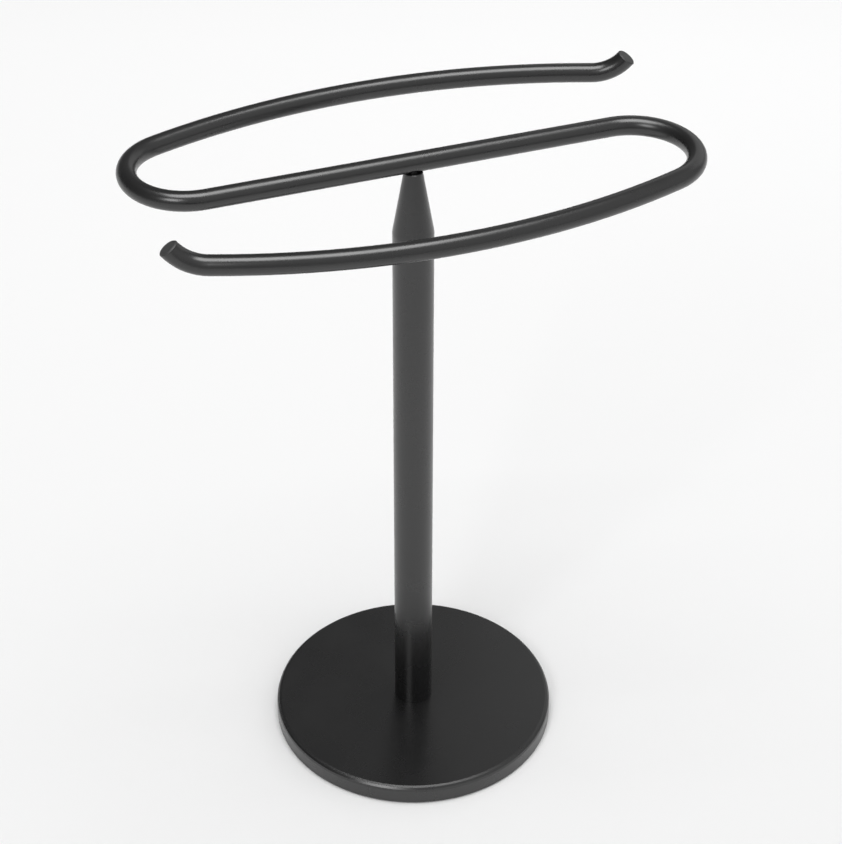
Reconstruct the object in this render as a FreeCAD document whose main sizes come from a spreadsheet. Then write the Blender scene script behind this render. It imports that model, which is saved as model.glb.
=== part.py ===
import FreeCAD, Part
import os
import Sketcher

# Freestanding towel stand: a heavy round foot, an upright post that tapers to a small nose, and
# one bent round bar lying level on that nose. Seen from above the bar is an S: a straight middle
# stretch over the post, a tight U-bend at each end of it, and a long shallow bow that comes back
# along each side and turns up at its tip.
#
# Millimetres, +Z up. The origin is on the surface that the stand rests on, on the post's axis.
# +X runs along the bar's straight middle stretch. The half that starts towards +X bends to -Y,
# and the other half is the same turned half way round the post.

SIZES = {
    # foot: a turned steel disc
    "base_diameter": 149,
    "base_height": 9.8,
    "base_edge_radius": 2.4,
    # soft ring stuck in a seat under the foot
    "pad_margin": 4,  # bare steel between the foot's side and the pad's seat
    "pad_seat_depth": 1.5,
    "pad_stand": 0.8,  # how far the pad stands out of its seat
    "pad_side_gap": 0.5,  # between the pad and the wall of its seat
    "pad_setback": 3,  # from the edge of the screw's counterbore
    # post
    "post_diameter": 20,
    "post_wall": 1.2,
    "bush_length": 14,
    # tapered top of the post
    "taper_length": 32.35,  # from where the sides of post and taper would meet, up to the nose
    "shoulder_radius": 12,
    "collar_length": 8,  # the turned piece's own straight part, below the taper
    "spigot_length": 12,
    "nose_diameter": 9,
    "nose_chamfer": 0.3,
    # bent bar
    "bar_height": 341.6,  # its centre line, over the surface
    "bar_diameter": 9.5,
    "straight_half": 99.2,  # from the post's axis to the start of a U-bend
    "bend_radius": 28.6,
    "bow_radius": 325.1,
    "bow_reach": 112.8,  # from the post's axis to where the upturned tip starts
    "tip_bend_radius": 21.3,
    "tip_angle": 54,
    "end_chamfer": 0.5,
    # screw and washer that pull the post down on the foot
    "screw_diameter": 6,
    "screw_length": 16,
    "screw_head_overhang": 2.25,  # past the shank, all round
    "screw_head_height": 3.3,
    "screw_head_sink": 0.3,  # inside the foot's underside
    "socket_width": 4,  # across the hexagon's flats
    "socket_depth": 2.1,
    "washer_width": 4.8,
    "washer_height": 1.6,
    "washer_clearance": 2,  # between the washer and the wall of the counterbore
    # stud between the bar and the nose
    "stud_diameter": 5,
    "stud_nose_depth": 12,  # how far it goes down into the nose
    "stud_bar_depth": 6,  # how far it goes up into the bar
    "stud_well": 1,  # depth of each tapped hole past the stud
    # fits
    "slip_clearance": 0.2,  # round a screw where it passes through without a thread
    "seat_clearance": 0.05,  # round a piece that is pressed or glued into a bore
}

# Heights and widths that several pieces share, as formulas of those sizes.
BASE_UNDERSIDE = "Sizes.pad_stand"
BASE_TOP = f"({BASE_UNDERSIDE} + Sizes.base_height)"
SCREW_UNDERSIDE = f"({BASE_UNDERSIDE} + Sizes.screw_head_sink)"
WASHER_UNDERSIDE = f"({SCREW_UNDERSIDE} + Sizes.screw_head_height)"
COUNTERBORE_FLOOR = f"({WASHER_UNDERSIDE} + Sizes.washer_height)"
SCREW_HOLE = "(Sizes.screw_diameter + 2 * Sizes.slip_clearance)"
SCREW_HEAD = "(Sizes.screw_diameter + 2 * Sizes.screw_head_overhang)"
WASHER = f"({SCREW_HOLE} + 2 * Sizes.washer_width)"
COUNTERBORE = f"({WASHER} + 2 * Sizes.washer_clearance)"
PAD_SEAT = "(Sizes.base_diameter - 2 * Sizes.pad_margin)"
PAD_OUTSIDE = f"({PAD_SEAT} - 2 * Sizes.pad_side_gap)"
PAD_INSIDE = f"({COUNTERBORE} + 2 * Sizes.pad_setback)"
POST_BORE = "(Sizes.post_diameter - 2 * Sizes.post_wall)"
POST_PLUG = f"({POST_BORE} - 2 * Sizes.seat_clearance)"
BAR_UNDERSIDE = "(Sizes.bar_height - Sizes.bar_diameter / 2)"
POST_SEAM = f"({BAR_UNDERSIDE} - Sizes.taper_length - Sizes.collar_length)"

# How far the taper leans in, and the shoulder's arc from the post's side to the taper's.
TAPER_LEAN = "atan((Sizes.post_diameter - Sizes.nose_diameter) / 2 / Sizes.taper_length)"
SHOULDER_REACH = f"(Sizes.shoulder_radius * tan({TAPER_LEAN} / 2))"

# The bow's circle touches the U-bend's circle from inside, and its centre is abreast of the post.
BOW_CENTRE = "(sqrt((Sizes.bow_radius - Sizes.bend_radius)^2 - Sizes.straight_half^2)"
BOW_CENTRE += " - Sizes.bend_radius)"
BOW_TURN = "asin(Sizes.bow_reach / Sizes.bow_radius)"
BOW_END = f"({BOW_CENTRE} - Sizes.bow_radius * cos({BOW_TURN}))"
TIP_RUN = "Sizes.tip_bend_radius * sin(Sizes.tip_angle)"
TIP_RISE = "(Sizes.tip_bend_radius * (1 - cos(Sizes.tip_angle)))"
TIP_X = f"(-Sizes.bow_reach - {TIP_RUN} * cos({BOW_TURN}))"
TIP_Y = f"({BOW_END} + {TIP_RUN} * sin({BOW_TURN}))"

# How a sketch counts the ends and centre of a piece, and its own axes. Its origin is the start of
# the horizontal one.
START, END, CENTRE = range(1, 4)
HORIZONTAL_AXIS, VERTICAL_AXIS = range(-1, -3, -1)
ORIGIN = HORIZONTAL_AXIS
CLOSE_ENOUGH = 1e-4

# The foot's rounded edge is turned as short cones between these points of its quarter circle.
RIM_TURNS = (0, 30, 60, 90)

document = FreeCAD.newDocument("towel_stand")
sheet = document.addObject("Spreadsheet::Sheet", "Sizes")
for row, (name, number) in enumerate(SIZES.items(), start=1):
    sheet.set(f"A{row}", name)
    sheet.set(f"B{row}", str(number))
    sheet.setAlias(f"B{row}", name)
document.recompute()


def value_of(formula):
    """The number that a formula of the sheet's sizes comes to."""
    result = sheet.evalExpression(formula)
    return float(getattr(result, "Value", result))


def new_body(name, height="0"):
    """An empty sub-part whose own origin is at this height on the post's axis."""
    body = document.addObject("PartDesign::Body", name)
    body.Label = name
    body.setExpression("Placement.Base.z", height)
    return body


def new_sketch(body, name, plane="XY_Plane", height="0"):
    """An empty sketch on one of the body's own planes, moved along that plane's normal."""
    sketch = body.newObject("Sketcher::SketchObject", name)
    support = next(item for item in body.Origin.OriginFeatures if item.Role == plane)
    sketch.AttachmentSupport = [(support, "")]
    sketch.MapMode = "FlatFace"
    sketch.setExpression("AttachmentOffset.Base.z", height)
    return sketch


def constrain(sketch, formula, *constraint):
    """Add a constraint of which the value follows a formula."""
    index = sketch.addConstraint(Sketcher.Constraint(*constraint, value_of(formula)))
    sketch.setExpression(f"Constraints[{index}]", formula)


def pin(sketch, piece, end, across, up):
    """Hold one end of a piece of the sketch at a distance across and up from its origin."""
    if across == "0":
        sketch.addConstraint(Sketcher.Constraint("PointOnObject", piece, end, VERTICAL_AXIS))
    else:
        constrain(sketch, across, "DistanceX", ORIGIN, START, piece, end)
    if up == "0":
        sketch.addConstraint(Sketcher.Constraint("PointOnObject", piece, end, HORIZONTAL_AXIS))
    else:
        constrain(sketch, up, "DistanceY", ORIGIN, START, piece, end)


def add_circle(sketch, diameter):
    """A circle round the sketch's origin."""
    circle = Part.Circle(FreeCAD.Vector(), FreeCAD.Vector(0, 0, 1), value_of(diameter) / 2)
    piece = sketch.addGeometry(circle)
    sketch.addConstraint(Sketcher.Constraint("Coincident", piece, CENTRE, ORIGIN, START))
    constrain(sketch, diameter, "Diameter", piece)


def place_of(corner):
    """The point that a pair of formulas comes to."""
    across, up = corner
    return FreeCAD.Vector(value_of(across), value_of(up))


def add_outline(sketch, corners, bend=None, bend_centre=None):
    """A closed outline through corners, straight but for one piece that bends off the last one."""
    places = [place_of(corner) for corner in corners]
    count = len(places)
    for index, place in enumerate(places):
        following = places[(index + 1) % count]
        if index == bend:
            centre = place_of(bend_centre)
            circle = Part.Circle(centre, FreeCAD.Vector(0, 0, 1), (place - centre).Length)
            ends = circle.parameter(place), circle.parameter(following)
            sketch.addGeometry(Part.ArcOfCircle(circle, *ends))
        else:
            sketch.addGeometry(Part.LineSegment(place, following))
    for index, (across, up) in enumerate(corners):
        following = (index + 1) % count
        meeting = "Tangent" if following == bend else "Coincident"
        sketch.addConstraint(Sketcher.Constraint(meeting, index, END, following, START))
        pin(sketch, index, START, across, up)


def add_hexagon(sketch, width):
    """A regular hexagon round the sketch's origin, from its width across flats."""
    corner = f"({width} / sqrt(3))"
    add_outline(
        sketch,
        [
            (corner, "0"),
            (f"{corner} / 2", f"{width} / 2"),
            (f"-{corner} / 2", f"{width} / 2"),
            (f"-{corner}", "0"),
            (f"-{corner} / 2", f"-{width} / 2"),
            (f"{corner} / 2", f"-{width} / 2"),
        ],
    )


def add_pad(body, sketch, length):
    """Raise the sketch into a solid."""
    pad = body.newObject("PartDesign::Pad", f"{sketch.Name}_pad")
    pad.Profile = sketch
    pad.setExpression("Length", length)


def add_pocket(body, sketch, depth, upward=False):
    """Sink the sketch into the solid, downward unless told otherwise."""
    pocket = body.newObject("PartDesign::Pocket", f"{sketch.Name}_pocket")
    pocket.Profile = sketch
    pocket.Reversed = upward
    pocket.setExpression("Length", depth)
    return pocket


def add_revolution(body, sketch):
    """Turn the sketch once round its own vertical axis."""
    turned = body.newObject("PartDesign::Revolution", f"{sketch.Name}_turned")
    turned.Profile = sketch
    turned.ReferenceAxis = (sketch, ["V_Axis"])
    turned.Angle = 360
    return turned


def add_hole(body, sketch, diameter, depth=None, upward=False):
    """Drill the sketch's circle to a flat bottom at a depth, or right through."""
    document.recompute()
    hole = body.newObject("PartDesign::Hole", f"{sketch.Name}_hole")
    hole.Profile = sketch
    hole.Reversed = upward
    hole.DrillPoint = "Flat"
    hole.setExpression("Diameter", diameter)
    if depth is None:
        hole.DepthType = "ThroughAll"
    else:
        hole.DepthType = "Dimension"
        hole.setExpression("Depth", depth)


def chamfer_rims(body, feature, size_formula, diameter, centres):
    """Chamfer the feature's round edges of one diameter, one at each of the centres."""
    document.recompute()
    names = []
    for number, edge in enumerate(feature.Shape.Edges, start=1):
        if not isinstance(edge.Curve, Part.Circle):
            continue
        if abs(edge.Curve.Radius - value_of(diameter) / 2) > CLOSE_ENOUGH:
            continue
        if any((edge.Curve.Center - centre).Length < CLOSE_ENOUGH for centre in centres):
            names.append(f"Edge{number}")
    if len(names) != len(centres):
        raise RuntimeError(f"{body.Label}: {len(names)} rims found at {len(centres)} places")
    chamfer = body.newObject("PartDesign::Chamfer", f"{feature.Name}_chamfer")
    chamfer.Base = (feature, names)
    chamfer.setExpression("Size", size_formula)


def base_plate():
    """Turned steel disc, seated underneath for the pad and counterbored for the screw."""
    body = new_body("base_plate", BASE_UNDERSIDE)
    half = new_sketch(body, "base_half", "XZ_Plane")
    passage, counterbore, seat = f"{SCREW_HOLE} / 2", f"{COUNTERBORE} / 2", f"{PAD_SEAT} / 2"
    floor = f"{COUNTERBORE_FLOOR} - {BASE_UNDERSIDE}"
    rim = [
        (
            f"Sizes.base_diameter / 2 - Sizes.base_edge_radius * (1 - cos({turn}))",
            f"Sizes.base_height - Sizes.base_edge_radius * (1 - sin({turn}))",
        )
        for turn in RIM_TURNS
    ]
    underside = [
        (passage, floor),
        (counterbore, floor),
        (counterbore, "Sizes.pad_seat_depth"),
        (seat, "Sizes.pad_seat_depth"),
        (seat, "0"),
        ("Sizes.base_diameter / 2", "0"),
    ]
    add_outline(half, underside + rim + [(passage, "Sizes.base_height")])
    add_revolution(body, half)


def base_pad():
    """Soft ring on which the stand rests, open in the middle for the screw's head."""
    body = new_body("base_pad")
    ring = new_sketch(body, "pad_ring")
    add_circle(ring, PAD_OUTSIDE)
    add_circle(ring, PAD_INSIDE)
    add_pad(body, ring, "Sizes.pad_seat_depth + Sizes.pad_stand")


def base_screw():
    """Flat-headed screw, head down, with a hexagon socket."""
    body = new_body("base_screw", SCREW_UNDERSIDE)
    half = new_sketch(body, "screw_half", "XZ_Plane")
    tip = "(Sizes.screw_head_height + Sizes.screw_length)"
    add_outline(
        half,
        [
            ("0", "0"),
            (f"{SCREW_HEAD} / 2", "0"),
            (f"{SCREW_HEAD} / 2", "Sizes.screw_head_height"),
            ("Sizes.screw_diameter / 2", "Sizes.screw_head_height"),
            ("Sizes.screw_diameter / 2", tip),
            ("0", tip),
        ],
    )
    add_revolution(body, half)
    socket = new_sketch(body, "screw_socket")
    add_hexagon(socket, "Sizes.socket_width")
    add_pocket(body, socket, "Sizes.socket_depth", upward=True)


def base_washer():
    """Plain washer between the screw's head and the foot."""
    body = new_body("base_washer", WASHER_UNDERSIDE)
    ring = new_sketch(body, "washer_ring")
    add_circle(ring, WASHER)
    add_circle(ring, SCREW_HOLE)
    add_pad(body, ring, "Sizes.washer_height")


def post_tube():
    """Round tube from the foot's top face to the seam under the taper."""
    body = new_body("post_tube", BASE_TOP)
    ring = new_sketch(body, "post_ring")
    add_circle(ring, "Sizes.post_diameter")
    add_circle(ring, POST_BORE)
    add_pad(body, ring, f"{POST_SEAM} - {BASE_TOP}")


def post_foot_bush():
    """Tapped bush fixed in the post's lower end, flush with it."""
    body = new_body("post_foot_bush", BASE_TOP)
    disc = new_sketch(body, "bush_disc")
    add_circle(disc, POST_PLUG)
    add_pad(body, disc, "Sizes.bush_length")
    tapping = new_sketch(body, "bush_tapping")
    add_circle(tapping, "Sizes.screw_diameter")
    add_hole(body, tapping, "Sizes.screw_diameter", upward=True)


def post_cone():
    """Turned taper: a spigot in the tube, a short straight collar, and sides in to the nose."""
    body = new_body("post_cone", POST_SEAM)
    half = new_sketch(body, "cone_half", "XZ_Plane")
    nose = "(Sizes.collar_length + Sizes.taper_length)"
    shoulder_low = f"Sizes.collar_length - {SHOULDER_REACH}"
    corners = [
        ("0", "-Sizes.spigot_length"),
        (f"{POST_PLUG} / 2", "-Sizes.spigot_length"),
        (f"{POST_PLUG} / 2", "0"),
        ("Sizes.post_diameter / 2", "0"),
        ("Sizes.post_diameter / 2", shoulder_low),
        (
            f"Sizes.post_diameter / 2 - {SHOULDER_REACH} * sin({TAPER_LEAN})",
            f"Sizes.collar_length + {SHOULDER_REACH} * cos({TAPER_LEAN})",
        ),
        ("Sizes.nose_diameter / 2", nose),
        ("0", nose),
    ]
    shoulder_centre = ("Sizes.post_diameter / 2 - Sizes.shoulder_radius", shoulder_low)
    add_outline(half, corners, bend=4, bend_centre=shoulder_centre)
    turned = add_revolution(body, half)
    nose_middle = FreeCAD.Vector(0, 0, value_of(nose))
    chamfer_rims(body, turned, "Sizes.nose_chamfer", "Sizes.nose_diameter", [nose_middle])
    tapping = new_sketch(body, "nose_tapping", height=nose)
    add_circle(tapping, "Sizes.stud_diameter")
    add_hole(body, tapping, "Sizes.stud_diameter", "Sizes.stud_nose_depth + Sizes.stud_well")


def bar_stud():
    """Headless stud that holds the bar down on the nose, screwed into both."""
    body = new_body("bar_stud", f"{BAR_UNDERSIDE} - Sizes.stud_nose_depth")
    disc = new_sketch(body, "stud_disc")
    add_circle(disc, "Sizes.stud_diameter")
    add_pad(body, disc, "Sizes.stud_nose_depth + Sizes.stud_bar_depth")


def add_bar_path(sketch):
    """Centre line of half the bar in its own level plane: straight, U-bend and bow."""
    up = FreeCAD.Vector(0, 0, 1)
    bend_radius, bow_radius = value_of("Sizes.bend_radius"), value_of("Sizes.bow_radius")
    run_end = FreeCAD.Vector(value_of("Sizes.straight_half"), 0)
    tip = FreeCAD.Vector(-value_of("Sizes.bow_reach"), value_of(BOW_END))
    bend_centre = run_end - FreeCAD.Vector(0, bend_radius)
    bow_centre = FreeCAD.Vector(0, value_of(BOW_CENTRE))
    touching = bend_centre - bow_centre
    junction = bow_centre + touching * (bow_radius / touching.Length)
    bend_circle = Part.Circle(bend_centre, up, bend_radius)
    bow_circle = Part.Circle(bow_centre, up, bow_radius)
    bend_ends = bend_circle.parameter(junction), bend_circle.parameter(run_end)
    bow_ends = bow_circle.parameter(tip), bow_circle.parameter(junction)
    run = sketch.addGeometry(Part.LineSegment(FreeCAD.Vector(), run_end))
    bend = sketch.addGeometry(Part.ArcOfCircle(bend_circle, *bend_ends))
    bow = sketch.addGeometry(Part.ArcOfCircle(bow_circle, *bow_ends))
    sketch.addConstraint(Sketcher.Constraint("Coincident", run, START, ORIGIN, START))
    sketch.addConstraint(Sketcher.Constraint("Horizontal", run))
    sketch.addConstraint(Sketcher.Constraint("Tangent", run, END, bend, END))
    sketch.addConstraint(Sketcher.Constraint("Tangent", bend, START, bow, END))
    sketch.addConstraint(Sketcher.Constraint("PointOnObject", bow, CENTRE, VERTICAL_AXIS))
    constrain(sketch, "Sizes.straight_half", "DistanceX", run, START, run, END)
    constrain(sketch, "Sizes.bend_radius", "Radius", bend)
    constrain(sketch, "Sizes.bow_radius", "Radius", bow)
    constrain(sketch, "Sizes.bow_reach", "DistanceX", bow, START, ORIGIN, START)


def add_tip_section(sketch):
    """The bar's section at the bow's end, with the level line that the tip bends round."""
    sketch.setExpression("AttachmentOffset.Base.x", BOW_END)
    sketch.setExpression("AttachmentOffset.Rotation.Pitch", f"-{BOW_TURN}")
    add_circle(sketch, "Sizes.bar_diameter")
    left, height = -value_of("Sizes.bar_diameter") / 2, value_of("Sizes.tip_bend_radius")
    line = Part.LineSegment(FreeCAD.Vector(left, height), FreeCAD.Vector(-left, height))
    axis = sketch.addGeometry(line, True)
    pin(sketch, axis, START, "-Sizes.bar_diameter / 2", "Sizes.tip_bend_radius")
    pin(sketch, axis, END, "Sizes.bar_diameter / 2", "Sizes.tip_bend_radius")


def towel_bar():
    """The bent bar: half of it swept, turned up at its tip, and repeated round the post."""
    body = new_body("towel_bar", "Sizes.bar_height")
    path = new_sketch(body, "bar_path")
    add_bar_path(path)
    section = new_sketch(body, "bar_section", "YZ_Plane")
    add_circle(section, "Sizes.bar_diameter")
    sweep = body.newObject("PartDesign::AdditivePipe", "bar_sweep")
    sweep.Profile = section
    sweep.Spine = (path, [])

    tip_section = new_sketch(body, "tip_section", "YZ_Plane", "-Sizes.bow_reach")
    add_tip_section(tip_section)
    tip = body.newObject("PartDesign::Revolution", "bar_tip")
    tip.Profile = tip_section
    tip.ReferenceAxis = (tip_section, ["Axis0"])
    tip.setExpression("Angle", "Sizes.tip_angle")

    halves = body.newObject("PartDesign::PolarPattern", "bar_halves")
    halves.Originals = [sweep, tip]
    halves.Axis = (path, ["N_Axis"])
    halves.Angle = 360
    halves.Occurrences = 2
    body.Tip = halves

    depth = "(Sizes.stud_bar_depth + Sizes.stud_well)"
    tapping = new_sketch(body, "bar_tapping", height=f"{depth} - Sizes.bar_diameter / 2")
    add_circle(tapping, "Sizes.stud_diameter")
    tapped = add_pocket(body, tapping, depth)
    front = FreeCAD.Vector(*(value_of(formula) for formula in (TIP_X, TIP_Y, TIP_RISE)))
    rear = FreeCAD.Vector(-front.x, -front.y, front.z)
    chamfer_rims(body, tapped, "Sizes.end_chamfer", "Sizes.bar_diameter", [front, rear])


def check_and_write():
    """Refuse to write anything while a feature has failed, then write every sub-part."""
    document.recompute()
    for item in document.Objects:
        if "Invalid" in item.State or "Error" in item.State:
            raise RuntimeError(f"{item.Name} failed: {item.State}")
        if item.TypeId == "Sketcher::SketchObject" and not item.FullyConstrained:
            raise RuntimeError(f"{item.Name} is not fully constrained")
        if item.TypeId in ("PartDesign::Pocket", "PartDesign::Hole"):
            if item.Shape.Volume > item.BaseFeature.Shape.Volume - CLOSE_ENOUGH:
                raise RuntimeError(f"{item.Name} cuts nothing")
    bodies = [item for item in document.Objects if item.TypeId == "PartDesign::Body"]
    for body in bodies:
        if body.Shape.isNull() or not body.Shape.isValid() or len(body.Shape.Solids) != 1:
            raise RuntimeError(f"{body.Label} is not one valid solid")
    os.makedirs("parts", exist_ok=True)
    for body in bodies:
        body.Shape.exportStep(f"parts/{body.Label}.step")
        box = body.Shape.optimalBoundingBox(False)
        print(f"{body.Label}: {body.Shape.Volume:.0f} mm3, {box}")


base_plate()
base_pad()
base_screw()
base_washer()
post_tube()
post_foot_bush()
post_cone()
bar_stud()
towel_bar()
check_and_write()
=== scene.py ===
import math

import bpy
from mathutils import Matrix, Vector

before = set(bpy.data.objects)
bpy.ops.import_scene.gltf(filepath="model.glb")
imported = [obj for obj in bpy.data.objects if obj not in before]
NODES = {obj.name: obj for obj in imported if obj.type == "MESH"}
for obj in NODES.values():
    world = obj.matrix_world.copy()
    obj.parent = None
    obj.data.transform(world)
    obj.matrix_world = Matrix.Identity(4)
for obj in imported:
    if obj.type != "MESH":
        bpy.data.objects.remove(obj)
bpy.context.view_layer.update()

SCENE = bpy.context.scene

WHITE = (1.0, 1.0, 1.0, 1.0)
UP = (0.0, 0.0, 1.0)

# The range in which most of a noise's values lie.
MOST = (0.3, 0.7)

# Black coat: colours, and what wear and a cut end add to its tone, paleness or roughness; the
# paleness on a cut end is painted sheen.
COAT_DARK = (0.0035, 0.0035, 0.0036)
COAT_PALE = (0.0068, 0.0068, 0.0070)
COAT_ROUGHNESS = (0.25, 0.31)
COAT_IOR = 1.70
WORN_RADIUS = 0.0005
WORN_TONE = 0.6
WORN_ROUGHNESS = 0.12
# Painted sheen: how much paler the cut ends are painted, standing in for the light that they
# catch.
END_PAINTED_SHEEN = 0.015
END_ROUGHNESS = 0.30

# The way that the front tip's cut end faces, and how far its middle reaches that way. The rear
# tip is the same turned half way round the post.
TIP_AXIS = (-0.55127, 0.20394, 0.80902)
TIP_REACH = Vector((-0.128962, -0.048112, 0.350380)).dot(Vector(TIP_AXIS))
BROKEN_EDGE = 0.0006  # how far back from the cut the end looks cut
BAR_TOP = 0.3468  # only the tips rise higher

# Zinc and foam rubber: darkest and palest colour, and roughness.
ZINC_DARK = (0.52, 0.53, 0.56)
ZINC_PALE = (0.66, 0.66, 0.64)
ZINC_ROUGHNESS = (0.26, 0.44)
ZINC_TURNING = (0.15, 0.15, 3.0)  # stretches the noise into lines round a turned piece
RUBBER_DARK = (0.016, 0.016, 0.017)
RUBBER_PALE = (0.032, 0.032, 0.033)
RUBBER_ROUGHNESS = (0.78, 0.92)

# Studio floor: half its side, and where its painted shade, grey near the stand, turns to white on
# the way back.
FLOOR_HALF = 60.0
FLOOR_BACK = (0.3435, 0.939, 0.0)
FLOOR_FADE = (-0.1, 0.8)
FLOOR_PAINTED_SHADE = (0.85, 0.96)

# Studio walls, seen by the world's light: how bright they are from one side to the other, low
# over the floor, and in the glow.
WALL_SIDE = (0.477, -0.879, 0.0)
WALL_LIGHT = (0.12, 0.50)
SKIRT_HEIGHTS = (0.03, 0.12)
SKIRT_LIGHT = (0.12, 0.0)
GLOW_SIDE = (0.472, -0.580, 0.664)
GLOW_SPREAD = (0.6, 1.0)
GLOW_LIGHT = (0.0, 0.22)

# Soft lamps: place, target, width and height, and watts.
SOFTBOXES = {
    "overhead": ((-0.033, -0.10, 3.6), (0.0, 0.0, 0.3), (2.4, 1.9), 81.0),
    "front_left": ((-2.2, -2.1, 2.6), (0.0, 0.0, 0.1), (1.4, 1.4), 34.0),
    "back_right": ((0.855, 0.59, 0.80), (0.1, 0.0, 0.345), (1.2, 0.65), 0.98),
}

# The photograph's camera, in metres, degrees and millimetres.
CAMERA_PLACE = (-0.3080, -0.8532, 0.8553)
CAMERA_HEADING = -20.093
CAMERA_DOWN = 36.126
CAMERA_ROLL = 0.137
CAMERA_LENS = 95.72
CAMERA_SENSOR = 36.0


# Shader helpers


def new_material(name):
    """An empty node material with its Principled shader; gives (material, tree, shader)."""
    material = bpy.data.materials.new(name)
    material.use_nodes = True
    tree = material.node_tree
    shader = tree.nodes["Principled BSDF"]
    return material, tree, shader


def noise(tree, scale, detail=3.0, roughness=0.5, stretch=None):
    """A noise texture in the object's own metres; stretch scales the axes first."""
    place = tree.nodes.new("ShaderNodeTexCoord")
    texture = tree.nodes.new("ShaderNodeTexNoise")
    texture.inputs["Scale"].default_value = scale
    texture.inputs["Detail"].default_value = detail
    texture.inputs["Roughness"].default_value = roughness
    source = place.outputs["Object"]
    if stretch:
        mapping = tree.nodes.new("ShaderNodeMapping")
        mapping.inputs["Scale"].default_value = stretch
        tree.links.new(source, mapping.inputs["Vector"])
        source = mapping.outputs["Vector"]
    tree.links.new(source, texture.inputs["Vector"])
    return texture.outputs["Fac"]


def along(tree, source, direction):
    """How far a point or direction reaches along another direction."""
    place = tree.nodes.new("ShaderNodeTexCoord")
    dot = tree.nodes.new("ShaderNodeVectorMath")
    dot.operation = "DOT_PRODUCT"
    dot.inputs[1].default_value = direction
    tree.links.new(place.outputs[source], dot.inputs[0])
    return dot.outputs["Value"]


def remap(tree, value, before, after):
    """The value taken from one range into another, clamped."""
    node = tree.nodes.new("ShaderNodeMapRange")
    node.inputs["From Min"].default_value, node.inputs["From Max"].default_value = before
    node.inputs["To Min"].default_value, node.inputs["To Max"].default_value = after
    tree.links.new(value, node.inputs["Value"])
    return node.outputs["Result"]


def ramp(tree, value, *stops):
    """A colour ramp between two (place, colour) stops."""
    node = tree.nodes.new("ShaderNodeValToRGB")
    for element, (place, colour) in zip(node.color_ramp.elements, stops):
        element.position = place
        element.color = (*colour, 1.0)
    tree.links.new(value, node.inputs["Fac"])
    return node.outputs["Color"]


def combine(tree, operation, first, second):
    """Math on two values, either of which may be a plain number."""
    node = tree.nodes.new("ShaderNodeMath")
    node.operation = operation
    for socket, value in zip(node.inputs, (first, second)):
        if isinstance(value, (int, float)):
            socket.default_value = value
        else:
            tree.links.new(value, socket)
    return node.outputs["Value"]


def add_share(tree, value, mask, amount):
    """The value, with the amount added where the mask is 1."""
    return combine(tree, "ADD", value, combine(tree, "MULTIPLY", mask, amount))


def bump(tree, height, strength, distance, below=None):
    """A bump from a height; below is an earlier bump's normal."""
    node = tree.nodes.new("ShaderNodeBump")
    node.inputs["Strength"].default_value = strength
    node.inputs["Distance"].default_value = distance
    tree.links.new(height, node.inputs["Height"])
    if below:
        tree.links.new(below, node.inputs["Normal"])
    return node.outputs["Normal"]


def edge_mask(tree, radius):
    """1 on sharp outer edges, 0 on open faces."""
    soft = tree.nodes.new("ShaderNodeBevel")
    soft.samples = 4
    soft.inputs["Radius"].default_value = radius
    plain = tree.nodes.new("ShaderNodeNewGeometry")
    dot = tree.nodes.new("ShaderNodeVectorMath")
    dot.operation = "DOT_PRODUCT"
    tree.links.new(soft.outputs["Normal"], dot.inputs[0])
    tree.links.new(plain.outputs["Normal"], dot.inputs[1])
    return remap(tree, dot.outputs["Value"], (0.995, 0.80), (0.0, 1.0))


def cut_ends(tree):
    """1 on the bar's two cut ends and their broken edges, 0 elsewhere."""
    front = along(tree, "Object", TIP_AXIS)
    rear = along(tree, "Object", (-TIP_AXIS[0], -TIP_AXIS[1], TIP_AXIS[2]))
    reach = combine(tree, "MAXIMUM", front, rear)
    at_end = combine(tree, "GREATER_THAN", reach, TIP_REACH - BROKEN_EDGE)
    raised = combine(tree, "GREATER_THAN", along(tree, "Object", UP), BAR_TOP)
    return combine(tree, "MULTIPLY", at_end, raised)


# Materials


def black_coat():
    """Satin black powder coat: faint orange peel, paler and duller on worn edges, duller on cut
    ends, and cut ends painted paler as a painted sheen.
    """
    material, tree, shader = new_material("black_coat")
    speck = noise(tree, 2600.0, detail=2.0)
    worn = edge_mask(tree, WORN_RADIUS)
    ends = cut_ends(tree)

    cloud_tone = remap(tree, noise(tree, 18.0, detail=4.0), MOST, (0.0, 0.7))
    speck_tone = remap(tree, speck, (0.35, 0.65), (0.0, 0.3))
    tone = combine(tree, "ADD", cloud_tone, speck_tone)
    tone = add_share(tree, tone, worn, WORN_TONE)
    colour = ramp(tree, tone, (0.0, COAT_DARK), (1.0, COAT_PALE))
    # Painted sheen: the cut ends are painted paler, for the light that they catch.
    paler = tree.nodes.new("ShaderNodeVectorMath")
    tree.links.new(colour, paler.inputs[0])
    tree.links.new(combine(tree, "MULTIPLY", ends, END_PAINTED_SHEEN), paler.inputs[1])
    tree.links.new(paler.outputs["Vector"], shader.inputs["Base Color"])

    rough = remap(tree, noise(tree, 45.0, detail=5.0), MOST, COAT_ROUGHNESS)
    rough = add_share(tree, rough, worn, WORN_ROUGHNESS)
    rough = add_share(tree, rough, ends, END_ROUGHNESS)
    tree.links.new(rough, shader.inputs["Roughness"])
    shader.inputs["IOR"].default_value = COAT_IOR

    peel = bump(tree, noise(tree, 900.0, detail=2.0, roughness=0.4), 0.12, 0.00002)
    grain = bump(tree, speck, 0.25, 0.000008, peel)
    tree.links.new(grain, shader.inputs["Normal"])
    return material


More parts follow.
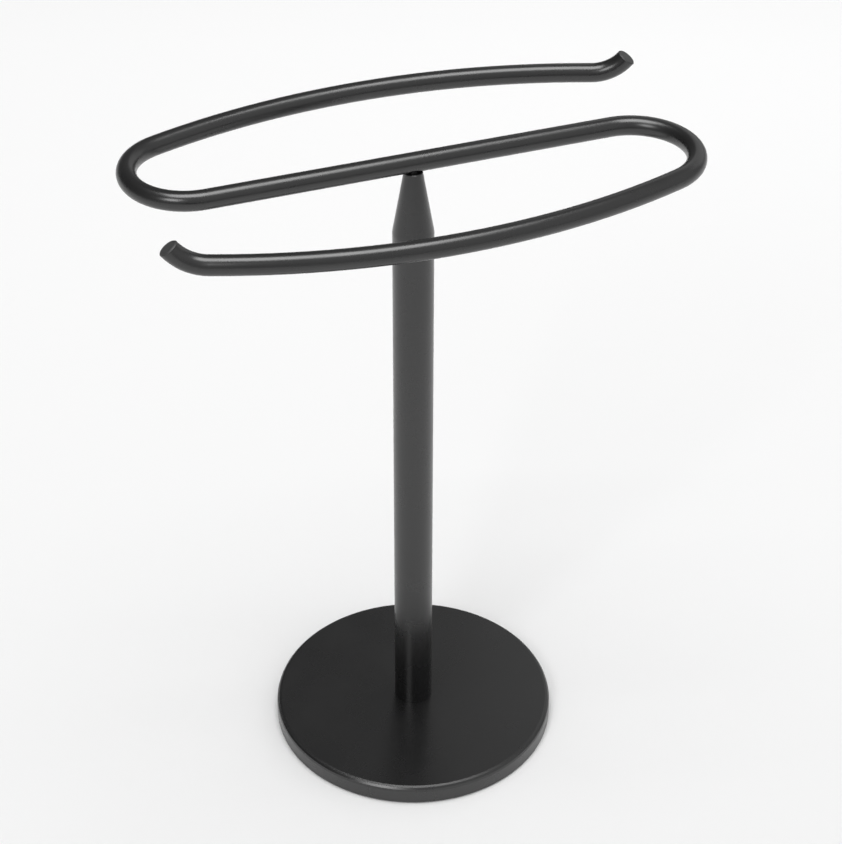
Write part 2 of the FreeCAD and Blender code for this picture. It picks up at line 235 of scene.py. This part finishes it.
def zinc_steel():
    """Bright zinc on turned steel: pale, faintly yellowed, with fine turning lines."""
    material, tree, shader = new_material("zinc_steel")
    colour = ramp(tree, noise(tree, 220.0, detail=4.0), (0.3, ZINC_DARK), (0.7, ZINC_PALE))
    tree.links.new(colour, shader.inputs["Base Color"])
    shader.inputs["Metallic"].default_value = 1.0
    rough = remap(tree, noise(tree, 700.0), MOST, ZINC_ROUGHNESS)
    tree.links.new(rough, shader.inputs["Roughness"])
    turned = noise(tree, 900.0, detail=2.0, stretch=ZINC_TURNING)
    tree.links.new(bump(tree, turned, 0.3, 0.00002), shader.inputs["Normal"])
    return material


def pad_rubber():
    """Dark closed-cell foam rubber, dull, with a fine pitted skin."""
    material, tree, shader = new_material("pad_rubber")
    cells = noise(tree, 1500.0, roughness=0.6)
    colour = ramp(tree, cells, (0.3, RUBBER_DARK), (0.7, RUBBER_PALE))
    tree.links.new(colour, shader.inputs["Base Color"])
    tree.links.new(remap(tree, cells, MOST, RUBBER_ROUGHNESS), shader.inputs["Roughness"])
    tree.links.new(bump(tree, cells, 0.5, 0.00008), shader.inputs["Normal"])
    return material


def studio_floor():
    """Plain matte floor with painted shade: off-white near the stand and to the front, white
    further back.
    """
    material, tree, shader = new_material("studio_floor")
    # Painted shade: the floor's colour is darker towards the stand and the front, and white
    # further back.
    grey = remap(tree, along(tree, "Object", FLOOR_BACK), FLOOR_FADE, FLOOR_PAINTED_SHADE)
    tree.links.new(grey, shader.inputs["Base Color"])
    shader.inputs["Roughness"].default_value = 0.8
    shader.inputs["Specular IOR Level"].default_value = 0.0
    return material


def dress(names, material):
    """Gives the nodes one material."""
    for name in names:
        node = NODES[name]
        node.data.materials.clear()
        node.data.materials.append(material)


# Studio


def add_floor():
    """A square floor at the height on which the stand rests."""
    mesh = bpy.data.meshes.new("floor")
    half = FLOOR_HALF
    corners = [(-half, -half, 0), (half, -half, 0), (half, half, 0), (-half, half, 0)]
    mesh.from_pydata(corners, [], [(0, 1, 2, 3)])
    floor = bpy.data.objects.new("floor", mesh)
    SCENE.collection.objects.link(floor)
    mesh.materials.append(studio_floor())


def add_softbox(name, place, target, size, watts):
    """A soft rectangular lamp that faces a target."""
    lamp = bpy.data.lights.new(name, "AREA")
    lamp.shape = "RECTANGLE"
    lamp.size, lamp.size_y = size
    lamp.energy = watts
    holder = bpy.data.objects.new(name, lamp)
    SCENE.collection.objects.link(holder)
    place = Vector(place)
    facing = (Vector(target) - place).to_track_quat("-Z", "Y")
    holder.matrix_world = Matrix.LocRotScale(place, facing, None)


def add_world():
    """Soft grey walls, paler to the front right and low down, with a glow high on that side."""
    world = bpy.data.worlds.new("studio")
    world.use_nodes = True
    SCENE.world = world
    tree = world.node_tree
    walls = remap(tree, along(tree, "Generated", WALL_SIDE), (-1.0, 1.0), WALL_LIGHT)
    glow = remap(tree, along(tree, "Generated", GLOW_SIDE), GLOW_SPREAD, GLOW_LIGHT)
    skirt = remap(tree, along(tree, "Generated", UP), SKIRT_HEIGHTS, SKIRT_LIGHT)
    light = combine(tree, "ADD", combine(tree, "ADD", walls, glow), skirt)
    background = tree.nodes["Background"]
    background.inputs["Color"].default_value = WHITE
    tree.links.new(light, background.inputs["Strength"])


def add_camera():
    """The photograph's camera."""
    camera = bpy.data.objects.new("camera", bpy.data.cameras.new("camera"))
    SCENE.collection.objects.link(camera)
    camera.data.lens = CAMERA_LENS
    camera.data.sensor_width = CAMERA_SENSOR
    turn = (
        Matrix.Rotation(math.radians(CAMERA_HEADING), 4, "Z")
        @ Matrix.Rotation(math.radians(90.0 - CAMERA_DOWN), 4, "X")
        @ Matrix.Rotation(math.radians(CAMERA_ROLL), 4, "Z")
    )
    camera.matrix_world = Matrix.Translation(CAMERA_PLACE) @ turn
    SCENE.camera = camera


dress(["base_plate", "post_tube", "post_cone", "towel_bar", "bar_stud"], black_coat())
dress(["base_screw", "base_washer", "post_foot_bush"], zinc_steel())
dress(["base_pad"], pad_rubber())

add_floor()
add_world()
for lamp_name, settings in SOFTBOXES.items():
    add_softbox(lamp_name, *settings)
add_camera()

SCENE.view_settings.view_transform = "Standard"
